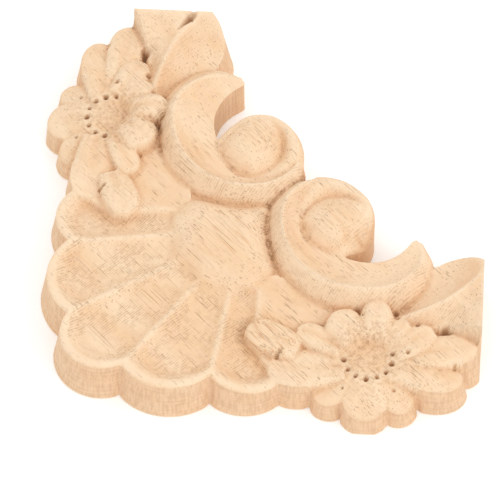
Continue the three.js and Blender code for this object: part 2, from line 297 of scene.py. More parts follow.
@dataclass
class Crest(Form):
    """A crisp ridge with a slope on its outer side and a hollow channel on its inner side."""

    marks: Marks = Marks.SLOPED
    ridge: tuple[Point, ...] = ()
    outer: tuple[Point, ...] = ()
    inner: tuple[Point, ...] = ()
    slope_bow: float = 0.5
    channel_sag: float = 1.1
    channel_lean: float = 0.7
    channel_marks: float = 0.35
    tip_fade: float = 6

    def __post_init__(self) -> None:
        """Draws the three lines."""
        self.lines = [Curve(line) for line in (self.ridge, self.outer, self.inner)]

    def point(self, u: float, v: float) -> Point:
        """Returns the point at share u along the ridge and share v across it, inwards."""
        ridge, outer, inner = (line.at(u) for line in self.lines)
        share = abs(2 * v - 1)
        if v <= 0.5:
            side, bow = outer, self.slope_bow * math.sin(math.pi * share)
        else:
            side, bow = inner, -self.channel_sag * math.sin(math.pi * share ** self.channel_lean)
        p = ridge.lerp(side, share)
        return p.x, p.y, p.z + bow * (1 - u ** self.tip_fade)

    def hatch(self, v: float) -> float:
        """Returns how strongly the tool marks show: faintly in the channel."""
        return 1.0 if v < 0.5 else self.channel_marks


@dataclass
class Band(Crest):
    """One scroll band."""

    steps: tuple[int, int] = (360, 64)
    draft: float = 0
    ridge: tuple[Point, ...] = (
        (62.6, 58, 12.8), (58.6, 55.6, 13.8), (55.6, 51, 14.4), (55.1, 45.4, 14.4),
        (56.2, 40.3, 14.4), (59.2, 35.2, 14.4), (63.8, 31.4, 14.4), (69, 29.5, 14.4),
        (74.2, 29, 14.2), (78.8, 30, 13.7), (82.4, 32.4, 12.9), (85, 35.8, 12),
        (86.2, 39.6, 11.2), (85.7, 43.6, 10.2))
    outer: tuple[Point, ...] = (
        (60.8, 59.6, 9), (55, 58.2, 8), (51.3, 52.4, 7.8), (51.2, 46, 8), (52.5, 40.2, 8),
        (55.7, 34, 8), (60.9, 28.8, 8), (67.4, 26, 7.6), (73.8, 25.2, 7.6), (79.6, 26, 7.6),
        (84.6, 28.8, 7.8), (88, 33, 8.2), (88.9, 38.4, 8.8), (86.2, 43.9, 9.8))
    inner: tuple[Point, ...] = (
        (65.4, 53.4, 11.2), (61.6, 52.4, 11), (59.3, 49.6, 10.7), (59, 45.6, 10.6),
        (60.9, 42.4, 10.4), (63.8, 40.8, 10.2), (67.2, 39.8, 10), (70.8, 38.7, 9.9),
        (74.6, 38.2, 9.8), (78.2, 39, 9.7), (81.2, 40.7, 9.8), (83, 42.6, 10), (84, 44, 10.2),
        (84.9, 44.7, 10))


@dataclass
class LeafEnd(Crest):
    """One leaf end: a ridge that climbs to the cut end."""

    steps: tuple[int, int] = (110, 90)
    ridge: tuple[Point, ...] = ((80.6, 23.7, 10), (84.4, 24.6, 11.6), (88.4, 25.9, 12.8),
                                (92.5, 27.9, 13.8), (96.3, 30.6, 14.9), (FULL, 33.8, TOP))
    inner: tuple[Point, ...] = ((84, 33, 9), (87.5, 36.5, 9.2), (91.5, 39, 9.8),
                                (95, 39.4, 11.4), (98, 38.2, 14), (FULL, 36.4, TOP))
    outer: tuple[Point, ...] = ((80.8, 21.4, 8), (85, 21.6, 8.4), (89.5, 22, 8.8),
                                (93.5, 21.4, 10.4), (97, 20, 13.6), (FULL, 18.6, TOP))
    slope_bow: float = -0.8
    channel_sag: float = 2.2
    channel_marks: float = 0.3
    tip_fade: float = 3


@dataclass
class Eye(Form):
    """One scroll eye: a round knob, the crease round it and the band that winds over it."""

    steps: tuple[int, int] = (180, 60)
    draft: float = 0
    centre: Place = (66.9, 46.6)
    top: float = 14.4
    rounding: float = 2.4
    knob_share: float = 0.6
    crease: float = 7.6
    start_angle: float = -55
    reach: tuple[float, ...] = (7.3, 7.7, 8.3, 8.9, 9.6, 10.4, 11.8, 13.4, 12, 9.6, 8.2, 7.8, 7.5,
                                7.3, 7.3)
    crease_height: tuple[float, ...] = (11.8, 12.8, 13.4, 13.4, 13, 12, 11.4, 11.2, 11, 10.8, 10.6,
                                        10.4, 10.4, 10.6, 11)
    band_height: tuple[float, ...] = (11.6, 12.6, 13.4, 13.4, 13.4, 13.4, 13.4, 13, 11.8, 10.8,
                                      10.4, 10.2, 10.2, 10.2, 10.6)
    rim_height: tuple[float, ...] = (9.6, 8.8, 9.2, 10.6, 11.8, 12, 12, 11.8, 10.8, 10.2, 9.8, 9.6,
                                     9.6, 9.8, 10.2)
    rim_width: tuple[float, ...] = (2.4, 2.8, 2.8, 2.2, 1.6, 1.4, 1.4, 1.4, 1.4, 1.4, 1.4, 1.4,
                                    1.4, 1.4, 1.6)
    rim_fall: tuple[float, ...] = (3,) * 15

    def point(self, u: float, v: float) -> Point:
        """Returns the eye's point at share u round it and share v outwards."""
        angle = math.radians(self.start_angle + 360 * u)
        lists = (self.reach, self.crease_height, self.band_height, self.rim_height, self.rim_width,
                 self.rim_fall)
        outline, low, band, rim, width, fall = (between(values, u * len(values)) for values in lists)
        crease = min(self.crease, outline - width)
        if v < self.knob_share:
            s = v / self.knob_share
            reach = s * crease
            z = mix(self.top, low, s ** self.rounding)
        else:
            s = (v - self.knob_share) / (1 - self.knob_share)
            reach = mix(crease, outline, s)
            z = mix(low, rim, s ** fall) + (band - low) * math.sin(math.pi * s)
        return (self.centre[0] + reach * math.cos(angle),
                self.centre[1] + reach * math.sin(angle), z)


@dataclass
class Petal(Form):
    """One petal or leaf of the flower: round tip, narrow root, a crown and a middle groove."""

    steps: tuple[int, int] = (36, 40)
    marks: Marks = Marks.PETAL
    root: Place = (0, 0)
    tip: Place = (1, 0)
    width: float = 8
    root_height: float = 8
    tip_height: float = 8
    crown: float = 1
    shoulder: float = 3.2
    groove: float = 0.5
    groove_width: float = 0.25
    belly: float = 0.6
    root_width: float = 0.7
    crown_span: tuple[float, float] = (0.15, 0.97)

    def point(self, u: float, v: float) -> Point:
        """Returns the petal's point at share u across it and share v of its length."""
        length = math.dist(self.root, self.tip)
        ahead = [(self.tip[n] - self.root[n]) / length for n in (0, 1)]
        middle = [mix(self.root[n], self.tip[n], self.belly) for n in (0, 1)]
        t = math.sin(math.pi / 2 * v)
        side = 2 * u - 1
        if t < self.belly:
            half = mix(self.root_width, 1, math.sin(math.pi / 2 * t / self.belly))
        else:
            half = math.sqrt(max(1 - ((t - self.belly) / (1 - self.belly)) ** 2, 0))
        across = side * half * self.width / 2
        swell = self.crown * (1 - abs(side) ** self.shoulder) * math.sin(math.pi * mix(*self.crown_span, t))
        groove = self.groove * math.exp(-((side / self.groove_width) ** 2)) * (1 - t)
        z = mix(self.root_height, self.tip_height, t) + swell - groove
        x = self.root[0] + ahead[0] * length * t - ahead[1] * across
        y = self.root[1] + ahead[1] * length * t + ahead[0] * across
        inset = 1 - self.draft * z / ((self.width + length) / 2)
        return mix(middle[0], x, inset), mix(middle[1], y, inset), z


@dataclass
class Disc(Form):
    """The flower's middle: a low, rough disc."""

    steps: tuple[int, int] = (64, 16)
    draft: float = 0
    marks: Marks = Marks.ROUGH
    centre: Place = (75.5, 14.8)
    radius: float = 6
    height: float = 7.6
    swell: float = 0.6

    def point(self, u: float, v: float) -> Point:
        """Returns the disc's point at share u round it and share v outwards."""
        angle = u * 2 * math.pi
        return (self.centre[0] + v * self.radius * math.cos(angle),
                self.centre[1] + v * self.radius * math.sin(angle),
                self.height + self.swell * (1 - v ** 2))


@dataclass
class Ground(Form):
    """The ground that joins the forms of one arm."""

    steps: tuple[int, int] = (120, 60)
    draft: float = 0
    low: tuple[Point, ...] = ((50, 16, 7.8), (56, 9, 6.8), (61.8, 7.4, 6.2), (69.9, 5.4, 3.9),
                              (80.3, 5, 3.9), (87, 8, 5.4), (93.6, 12.8, 6.6), (FULL, 19, 9.6))
    high: tuple[Point, ...] = ((50, 34, 9.1), (56, 34, 9.1), (62, 30, 8.9), (70, 27, 8.5),
                               (80, 27, 8.1), (87, 32, 8.4), (93.6, 34, 9), (FULL, 36, 12))

    def __post_init__(self) -> None:
        """Draws the two borders."""
        self.borders = (Curve(self.low), Curve(self.high))

    def point(self, u: float, v: float) -> Point:
        """Returns the ground's point at share u along it and share v across it."""
        low, high = (border.at(u) for border in self.borders)
        return tuple(low.lerp(high, v))


PETALS = tuple(
    Petal(root=row[:2], tip=row[2:4], width=row[4], root_height=row[5], tip_height=row[6], crown=row[7])
    for row in (        # root, tip, width, height at the root and at the tip, crown
        (73, 12.4, 64.2, 4.6, 8.6, 7.8, 4.6, 0.8),
        (75.4, 12.5, 75, 0, 10.6, 8, 4.8, 1),
        (77.6, 12.4, 84.9, 3.1, 8.2, 7.8, 4.2, 0.8),
        (79, 13.2, 96.8, 10.3, 9.8, 8, 7, 1),
        (84, 15.6, FULL, 18, 9.4, 8.4, 9.6, 1.1),
        (80, 15.4, 90.4, 21.8, 8.4, 8.8, 10, 1),
        (78.4, 17.4, 84.4, 23.8, 6.6, 9, 10.2, 0.9),
        (76.6, 17.8, 77.2, 28.6, 8.8, 9.8, 11.2, 1.8),
        (73.8, 17, 67, 25.2, 10.2, 9.6, 10.6, 1.8),
        (71, 15.4, 59, 21.4, 7.2, 8.8, 9.4, 1.1),
        (61.4, 15.6, 47.6, 20.8, 9.4, 8.6, 9.4, 1.2),
        (71.5, 12.4, 52.8, 11, 10.4, 8, 7.4, 0.8)))

EYES = (
    Eye(sides=(True,)),
    Eye(sides=(False,),         # rolled further over on its open side
        rim_height=(9.2, 7.6, 8.6, 11, 11.9, 12, 12, 11.8, 10.8, 10.2, 9.8, 9.6, 9.6, 9.8, 10.2),
        rim_width=(2.8, 3.4, 3.4, 2.4, 1.6, 1.4, 1.4, 1.4, 1.4, 1.4, 1.4, 1.4, 1.4, 1.4, 1.6),
        rim_fall=(1.4, 1.2, 1.3, 2, 3, 3, 3, 3, 3, 3, 3, 3, 3, 3, 2.4)),
)


@dataclass(frozen=True)
class Pit:
    """A small round hole that a fine cutter left."""

    place: Place
    radius: float
    depth: float = 1.6
    paired: bool = True


@dataclass(frozen=True)
class Patch:
    """A round place where the wood looks different: painted shadow, figured or rough."""

    place: Place
    radius: float
    amount: float = 1.0


@dataclass
class Relief:
    """The carved face as heights on a square grid, with what each place of it belongs to."""

    heights: np.ndarray
    held: np.ndarray
    boss: np.ndarray
    ground: np.ndarray
    shell: np.ndarray
    disc: np.ndarray
    soft: np.ndarray
    disc_passes: int = 40
    foot_passes: int = 7
    foot_spread: int = 20
    rim_passes: int = 26
    edge_passes: int = 8
    fine_passes: int = 6
    broad_passes: int = 120

    def spread(self, values: np.ndarray, passes: int) -> np.ndarray:
        """Averages values over their surroundings, inside the outline only.

        Args:
            values: one value for each place.
            passes: how often each place is averaged with its neighbours.

        Returns:
            The averaged values.
        """
        total = averaged(np.where(self.held, values, 0.0), passes)
        weight = averaged(self.held.astype(float), passes)
        return total / np.maximum(weight, 1e-9)

    def wear(self) -> None:
        """Lets the forms that meet softly run together, and rounds the edges of the soft ones."""
        boss, ground, shell = (self.spread(mask, self.foot_spread)
                               for mask in (self.boss, self.ground, self.shell))
        meeting = np.clip(4 * (boss + ground) * shell, 0, 1)
        self.heights += meeting * (self.spread(self.heights, self.foot_passes) - self.heights)
        disc = self.spread(self.disc, self.foot_spread)
        step = np.clip(4 * disc * (1 - disc), 0, 1)
        self.heights += step * (self.spread(self.heights, self.disc_passes) - self.heights)
        soft = self.spread(self.soft, self.edge_passes)
        self.heights += soft * (self.spread(self.heights, self.edge_passes) - self.heights)

    def hollows(self) -> tuple[np.ndarray, np.ndarray]:
        """Returns how far each place lies below its near and its wider surroundings."""
        fine, broad = (self.spread(self.heights, passes) - self.heights
                       for passes in (self.fine_passes, self.broad_passes))
        return fine, broad

    def rim(self) -> np.ndarray:
        """Returns how near each place lies to the outline, 0 well inside and 1 at it."""
        return 2 * (1 - averaged(self.held.astype(float), self.rim_passes))

    def slope(self, cell: float) -> np.ndarray:
        """Returns the steepness of the face, as rise over run."""
        smooth = self.spread(self.heights, 2)
        return np.hypot(*np.gradient(smooth, cell))


@dataclass
class Carving:
    """The whole onlay, from its forms to one closed mesh."""

    low: Vector
    high: Vector
    cell: float = 0.3 * MM
    pull: float = 0.9999           # keeps a cast just inside the square's own edge
    search: int = 14
    end_reach: float = 0.06 * MM   # what lies this near to the cut ends is on them
    crisp: float = math.radians(30)
    wall_rows: tuple[float, ...] = (0.03, 0.12, 0.3, 0.5, 0.7, 0.88, 1.0)
    normal_reach: int = 7
    fuzz: float = 0.1 * MM
    fuzz_pace: float = 1400
    waviness: float = 380
    streak: float = 0.05 * MM
    streak_pace: float = 900
    crease_drop: float = 0.14 * MM
    crest_rise: float = 0.1 * MM
    hollow_drop: float = 1.4 * MM
    steep_from: float = 0.35
    shadow_depth: float = 1.6
    pits: tuple[Pit, ...] = (
        Pit((72.5, 25.8), 0.55), Pit((74, 23.8), 0.3, 0.8), Pit((81.2, 26.4), 0.55, 1.5),
        Pit((81.6, 24), 0.4, 1.2), Pit((86, 22.6), 0.5, 1.4), Pit((92, 21.6), 0.9, 1.6),
        Pit((92.8, 21.1), 0.5, 1.4), Pit((94.4, 13.1), 0.4, 1), Pit((55.6, 14), 0.5, 1.2),
        Pit((56.2, 14.7), 0.4, 1), Pit((65.2, 22), 0.4, 0.8), Pit((84.1, 15.7), 0.45, 1),
        Pit((70.2, 7.4), 0.3, 0.8), Pit((81.4, 7.6), 0.35, 0.8),
        Pit((96.2, 29), 0.32, 0.5, False), Pit((96.8, 29.6), 0.4, 0.8, False),
        Pit((97.4, 30.2), 0.52, 1.1, False), Pit((98, 30.8), 0.66, 1.5, False),
        Pit((98.6, 31.4), 0.8, 1.9, False), Pit((99.3, 32.1), 0.75, 1, False))
    ring_radius: float = 5.4
    ring_holes: int = 8
    ring_start: float = 190.5
    ring_pitch: float = 25.6
    ring_hole: tuple[float, float] = (0.52, 1.6)
    ring_spread: float = 0.22
    # Spots of painted shadow, in the deep creases and gaps where the neighbouring forms shade the carving;
    # the same spots also deepen the tool marks and roughen the face.
    shadow_spots: tuple[Patch, ...] = tuple(Patch((x, y), radius, amount) for x, y, radius, amount in (
        (59.4, 59.4, 1.5, 1), (57, 57, 1.5, 1), (54.4, 54.4, 1.5, 1), (52, 52, 1.4, 1.4),
        (50.9, 48.6, 1.4, 1.6), (51.4, 45.3, 1.5, 1.6), (52.4, 42.4, 1.5, 1.5), (53.4, 39.8, 1.5, 1.2),
        (55, 37, 1.5, 0.6), (26.6, 74, 1.8, 1.3), (26.8, 70.5, 2, 1.6), (27, 67, 1.8, 1.3),
        (65.4, 21.9, 1.5, 1), (80.9, 28.3, 1.8, 0.8), (83.6, 26.9, 1.8, 0.7), (47.6, 23.2, 1.6, 0.9),
        (47.6, 20.4, 1.9, 0.9), (49.6, 18, 1.6, 0.5), (71.8, 18.3, 1.5, 0.5), (74.5, 18.8, 1.6, 0.6),
        (77.2, 18.4, 1.4, 0.5), (32, 53, 1.8, 0.4), (28.4, 77.6, 1.8, 0.5), (58, 26.4, 2, 0.35),
        (39.6, 67.5, 1.2, 0.6), (40.5, 64, 1.2, 0.6), (42.7, 60.9, 1.2, 0.5), (53.2, 66.6, 1.1, 0.4),
        (59.2, 50, 1.2, 0.8), (59.5, 46.6, 1.2, 0.8), (60.6, 43.4, 1.2, 0.7)))
    figured: tuple[Patch, ...] = tuple(Patch((x, y), radius, amount) for x, y, radius, amount in (
        (53.5, 18.4, 6.5, 1.4), (58, 17.2, 4, 0.8), (88, 11.6, 4, 0.7), (75, 4.5, 4, 0.5),
        (67.5, 48.5, 4.5, 0.7), (43.5, 45, 8.5, 0.8), (48.5, 68.5, 4.5, 0.7), (70, 36, 4, 0.5),
        (37, 64, 4, 0.5)))
    bloom_radius: float = 8.5
    forms: list[Form] = field(default_factory=list)

    def __post_init__(self) -> None:
        """Lists the forms and works out the scale of the carving's own units."""
        self.plan = (self.high.x - self.low.x) / FULL
        self.rise = self.high.z / TOP
        self.disc = Disc()
        self.forms = [Shell(), Boss(), Band(), *EYES, LeafEnd(), Ground(), self.disc, *PETALS]

    def _placed(self, point: Point, mirrored: bool) -> Vector:
        """Returns a point of a form in the row frame, in metres."""
        x, y, z = point
        if mirrored:
            x, y = y, x
        return Vector((self.low.x + x * self.plan, self.low.y + y * self.plan, z * self.rise))

    def _sheets(self) -> tuple[BVHTree, list[tuple[Form, float]]]:
        """Makes every form's sheet.

        Returns:
            A tree of all the sheets, and for each face its form and the strength of its tool marks.
        """
        sheets = bmesh.new()
        owners: list[tuple[Form, float]] = []
        for form in self.forms:
            for mirrored in form.sides:
                grid = bmesh.ops.create_grid(sheets, x_segments=form.steps[0],
                                             y_segments=form.steps[1], size=1)
                sheets.faces.ensure_lookup_table()
                owners += [(form, form.hatch((face.calc_center_median().y + 1) / 2))
                           for face in sheets.faces[len(owners):]]
                for vert in grid["verts"]:
                    u, v = ((value + 1) / 2 for value in vert.co.xy)
                    vert.co = self._placed(form.point(u, v), mirrored)
        tree = BVHTree.FromBMesh(sheets)
        sheets.free()
        return tree, owners

    def _cast(self, tree: BVHTree, x: float, y: float) -> tuple[float, int] | None:
        """Returns the height and the face that lie at (x, y), or None outside the outline."""
        start = Vector((x * self.pull, y * self.pull, 2 * self.high.z))
        hit, _, face, _ = tree.ray_cast(start, Vector((0, 0, -1)))
        return None if hit is None else (hit.z, face)

    def _crossing(self, tree: BVHTree, inside: Vector, outside: Vector) -> Vector:
        """Returns the place of the outline between an inside and an outside place."""
        kept, lost = inside.copy(), outside.copy()
        for _ in range(self.search):
            middle = (kept + lost) / 2
            found = self._cast(tree, middle.x, middle.y)
            if found is None:
                lost = middle
            else:
                kept = Vector((middle.x, middle.y, found[0]))
        return kept

    def _blank(self, tree: BVHTree, owners: list[tuple[Form, float]]) -> bmesh.types.BMesh:
        """Drops a fine grid onto the sheets and trims it to their outline."""
        bm = bmesh.new()
        side = self.high.x - self.low.x
        count = round(side / self.cell)
        bmesh.ops.create_grid(bm, x_segments=count, y_segments=count, size=side / 2)
        marks = bm.verts.layers.float.new("marks")
        draft = bm.verts.layers.float.new("draft")
        owner = bm.verts.layers.int.new("owner")
        column, row = bm.verts.layers.int.new("column"), bm.verts.layers.int.new("row")
        inside: set[bmesh.types.BMVert] = set()
        for vert in bm.verts:
            vert[column] = round((vert.co.x - self.low.x) / self.cell)
            vert[row] = round((vert.co.y - self.low.y) / self.cell)
            found = self._cast(tree, vert.co.x, vert.co.y)
            if found is not None:
                form, hatch = owners[found[1]]
                vert.co.z = found[0]
                vert[marks] = form.marks.ribs * hatch
                vert[draft] = form.draft
                vert[owner] = self.forms.index(form)
                inside.add(vert)
        edge: dict[bmesh.types.BMVert, Vector] = {}
        for vert in bm.verts:
            if vert in inside:
                continue
            near = [e.other_vert(vert) for e in vert.link_edges]
            near = [other for other in near if other in inside]
            if near:
                flat = Vector((vert.co.x, vert.co.y, 0))
                spots = [self._crossing(tree, other.co, flat) for other in near]
                edge[vert] = sum(spots, Vector()) / len(spots)
                for layer in (marks, draft, owner):
                    vert[layer] = near[0][layer]
        for vert, spot in edge.items():
            vert.co = spot
        self._trim(bm, inside, edge)
        return bm

    @staticmethod
    def _trim(bm: bmesh.types.BMesh, inside: set[bmesh.types.BMVert],
              edge: dict[bmesh.types.BMVert, Vector]) -> None:
        """Takes away what lies outside the outline, and halves the squares that it crosses."""
        for face in list(bm.faces):
            if not any(vert in inside for vert in face.verts):
                continue
            far = [vert for vert in face.verts if vert not in inside and vert not in edge]
            if far:
                sides = [e.other_vert(far[0]) for e in far[0].link_edges if e in face.edges]
                bmesh.utils.face_split(face, sides[0], sides[1])
        outer = [face for face in bm.faces if not any(vert in inside for vert in face.verts)]
        bmesh.ops.delete(bm, geom=outer, context="FACES")

    def _relief(self, bm: bmesh.types.BMesh) -> tuple[Relief, np.ndarray]:
        """Reads the blank's heights.

        Returns:
            The relief, and the grid place of each vertex.
        """
        column, row = bm.verts.layers.int["column"], bm.verts.layers.int["row"]
        owner = bm.verts.layers.int["owner"]
        count = round((self.high.x - self.low.x) / self.cell) + 1
        cells = np.array([(vert[column], vert[row]) for vert in bm.verts]).T
        owners = np.array([vert[owner] for vert in bm.verts])
        soft = np.array([form.marks.soft for form in self.forms])
        grids = [np.zeros((count, count)) for _ in range(7)]
        values = ([vert.co.z for vert in bm.verts], np.ones(len(owners)),
                  *(owners == self._place_of(kind) for kind in (Boss, Ground, Shell, Disc)), soft[owners])
        for grid, value in zip(grids, values):
            grid[cells[0], cells[1]] = value
        heights, held, *masks = grids
        return Relief(heights, held > 0, *masks), cells

    def _place_of(self, kind: type[Form]) -> int:
        """Returns where the first form of a kind stands in the list."""
        return next(k for k, form in enumerate(self.forms) if isinstance(form, kind))

    @staticmethod
    def _note(bm: bmesh.types.BMesh, name: str, values: np.ndarray) -> None:
        """Writes one value for each vertex into a new layer."""
        layer = bm.verts.layers.float.new(name)
        for vert, value in zip(bm.verts, values):
            vert[layer] = value

    def _drill(self, bm: bmesh.types.BMesh) -> None:
        """Sinks the pits and the ring of holes round each flower's middle."""
        ring = []
        for k in range(self.ring_holes):
            angle = math.radians(self.ring_start + self.ring_pitch * k)
            place = (self.disc.centre[0] + self.ring_radius * math.cos(angle),
                     self.disc.centre[1] + self.ring_radius * math.sin(angle))
            radius, depth = self.ring_hole
            ring.append(Pit(place, radius * (1 - self.ring_spread * (k * k % 3)), depth))
        spots = [(self._placed((*pit.place, 0), mirrored), pit)
                 for pit in (*self.pits, *ring) for mirrored in ((False, True) if pit.paired else (True,))]
        places = np.array([vert.co[:] for vert in bm.verts])
        drop = np.zeros(len(places))
        for spot, pit in spots:
            off = np.hypot(places[:, 0] - spot.x, places[:, 1] - spot.y) / (pit.radius * self.plan)
            drop = np.maximum(drop, pit.depth * self.rise * np.exp(-off ** 4))
        for vert, depth in zip(bm.verts, drop):
            vert.co.z -= depth
        # The pit value later paints shade into each hole, darker the deeper the hole is.
        self._note(bm, "pit", drop / (self.shadow_depth * self.rise))

    def _patched(self, bm: bmesh.types.BMesh, name: str, patches: tuple[Patch, ...]) -> None:
        """Notes on the vertices how far each lies inside the patches, under a name."""
        places = np.array([vert.co[:2] for vert in bm.verts])
        total = np.zeros(len(places))
        for patch in patches:
            spot = self._placed((*patch.place, 0), False)
            off = np.hypot(*(places - spot[:2]).T) / (patch.radius * self.plan)
            total = np.maximum(total, patch.amount * np.exp(-off ** 4))
        self._note(bm, name, total)

    def _weather(self, bm: bmesh.types.BMesh) -> None:
        """Wears the edges, roughens the creases, and notes where creases, crests and slopes are."""
        relief, (columns, rows) = self._relief(bm)
        relief.wear()
        for vert, height in zip(bm.verts, relief.heights[columns, rows]):
            if not vert.is_boundary:
                vert.co.z = height
        bmesh.ops.smooth_vert(bm, verts=[v for v in bm.verts if not v.is_boundary], factor=0.5,
                              use_axis_z=True)
        self._drill(bm)
        relief, _ = self._relief(bm)
        fine, broad = relief.hollows()
        seen = {"crease": fine / self.crease_drop, "crest": -fine / self.crest_rise,
                "hollow": broad / self.hollow_drop, "steep": relief.slope(self.cell) - self.steep_from,
                "rim": relief.rim()}
        for name, grid in seen.items():
            self._note(bm, name, np.clip(grid[columns, rows], 0, 1))
        self._patched(bm, "shadow_spot", self.shadow_spots)
        self._patched(bm, "figure", self.figured)
        centre = self.disc.centre
        self._patched(bm, "bloom", (Patch(centre, self.bloom_radius), Patch(centre[::-1], self.bloom_radius)))
        owner, crease = bm.verts.layers.int["owner"], bm.verts.layers.float["crease"]
        for vert in bm.verts:
            if not vert.is_boundary:
                rough = noise.fractal(vert.co * self.fuzz_pace, 0.6, 2.0, 3)
                plain = noise.fractal(vert.co * self.waviness + Vector((7, 3, 1)), 0.8, 2.0, 3)
                coarse = self.forms[vert[owner]].marks.rough
                vert.co.z += self.fuzz * (rough * (0.15 * coarse + vert[crease]) + 0.5 * coarse * plain)

    @staticmethod
    def _loop(edges: list[bmesh.types.BMEdge]) -> list[bmesh.types.BMVert]:
        """Returns the vertices of the first edge's closed loop, in order."""
        wanted = set(edges)
        first = edges[0]
        ring = [first.verts[0], first.verts[1]]
        last = first
        while True:
            onward = next(e for e in ring[-1].link_edges if e in wanted and e is not last)
            vert = onward.other_vert(ring[-1])
            if vert is ring[0]:
                return ring
            ring.append(vert)
            last = onward

    def _foot(self, tops: np.ndarray, lean: np.ndarray, cut: np.ndarray) -> tuple[np.ndarray, np.ndarray]:
        """Works out where the side walls stand.

        Args:
            tops: the outline's points, in order.
            lean: how far the wall leans out below each, as a share of its height.
            cut: whether each lies on a flat cut end.

        Returns:
            The outward direction at each point, and the foot below it.
        """
        lean = np.where(cut, 0.0, lean)
        ahead = np.roll(tops, -self.normal_reach, 0) - np.roll(tops, self.normal_reach, 0)
        flat = np.stack([ahead[:, 1], -ahead[:, 0]], 1)
        for _ in range(self.normal_reach):
            flat = (np.roll(flat, 1, 0) + flat + np.roll(flat, -1, 0)) / 3
            lean = (np.roll(lean, 1, 0) + lean + np.roll(lean, -1, 0)) / 3
        turned = np.sum(tops[:, 0] * np.roll(tops[:, 1], -1) - tops[:, 1] * np.roll(tops[:, 0], -1))
        flat *= math.copysign(1, turned) / np.maximum(np.linalg.norm(flat, axis=1), 1e-12)[:, None]
        feet = tops[:, :2] + flat * (np.where(cut, 0, lean) * tops[:, 2])[:, None]
        return flat, np.clip(feet, self.low.x, self.high.x)

    def _walls(self, bm: bmesh.types.BMesh) -> None:
        """Draws the side walls down from the outline, leaning out, and closes the back."""
        draft = bm.verts.layers.float["draft"]
        wall = bm.verts.layers.float.new("wall")
        cleared = [bm.verts.layers.float[name] for name in
                   ("marks", "crease", "crest", "hollow", "steep", "pit", "shadow_spot", "figure", "bloom")]
        # The edges also hold the rims of two small inner gaps, which stay in place until the last fill.
        edges = [edge for edge in bm.edges if edge.is_boundary]
        ring = self._loop(edges)
        LOG.info("outline of %d points from %d edges", len(ring), len(edges))
        tops = np.array([vert.co[:] for vert in ring])
        cut = np.maximum(tops[:, 0], tops[:, 1]) > self.high.x - self.end_reach
        for _ in range(2):
            even = (np.roll(tops, 1, 0) + 2 * tops + np.roll(tops, -1, 0)) / 4
            tops = np.where(cut[:, None], tops, even)
        flat, feet = self._foot(tops, np.array([vert[draft] for vert in ring]), cut)
        run = np.cumsum(np.linalg.norm(np.roll(tops, -1, 0) - tops, axis=1))
        waves = [noise.fractal(Vector((s * self.streak_pace, 0.0, 5.0)), 0.7, 2.0, 3) for s in run]
        for vert, top in zip(ring, tops):
            vert.co = top
        current = ring
        for share in self.wall_rows:
            made = bmesh.ops.extrude_edge_only(bm, edges=edges)["geom"]
            fresh = {item for item in made if isinstance(item, bmesh.types.BMVert)}
            below = {e.other_vert(v): v for v in fresh for e in v.link_edges
                     if e.other_vert(v) not in fresh}
            current = [below[vert] for vert in current]
            edges = [item for item in made if isinstance(item, bmesh.types.BMEdge)
                     and item.verts[0] in fresh and item.verts[1] in fresh]
            cutting = 0.0 if share in (self.wall_rows[0], 1.0) else self.streak
            for k, vert in enumerate(current):
                place = tops[k, :2] + (feet[k] - tops[k, :2]) * share
                if not cut[k]:
                    place -= flat[k] * cutting * (1 + waves[k])
                vert.co = (*place, tops[k, 2] * (1 - share))
                vert[wall] = 1.0
                for layer in cleared:
                    vert[layer] = 0.0
        bmesh.ops.edgeloop_fill(bm, edges=edges)

    def _finish(self, bm: bmesh.types.BMesh) -> None:
        """Turns every face outwards and sets which edges stay crisp."""
        bmesh.ops.recalc_face_normals(bm, faces=bm.faces[:])
        for face in bm.faces:
            face.smooth = True
        near = self.high.x - self.end_reach
        for edge in bm.edges:
            cut_end = any(all(vert.co[axis] > near for vert in edge.verts) for axis in (0, 1))
            back = all(vert.co.z < 1e-6 for vert in edge.verts)
            if (cut_end or back) and edge.calc_face_angle(0) > self.crisp:
                edge.smooth = False

    def build(self) -> bpy.types.Object:
        """Makes the carving's object.

        Returns:
            The object, at the origin, with its place in its mesh.
        """
        tree, owners = self._sheets()
        bm = self._blank(tree, owners)
        self._weather(bm)
        self._walls(bm)
        self._finish(bm)
        for name in ("owner", "column", "row"):
            bm.verts.layers.int.remove(bm.verts.layers.int[name])
        bm.verts.layers.float.remove(bm.verts.layers.float["draft"])
        mesh = bpy.data.meshes.new("carved_applique")
        bm.to_mesh(mesh)
        bm.free()
        piece = bpy.data.objects.new("carved_applique", mesh)
        bpy.context.scene.collection.objects.link(piece)
        triangles = sum(len(polygon.vertices) - 2 for polygon in mesh.polygons)
        LOG.info("carved_applique: %d triangles", triangles)
        return piece


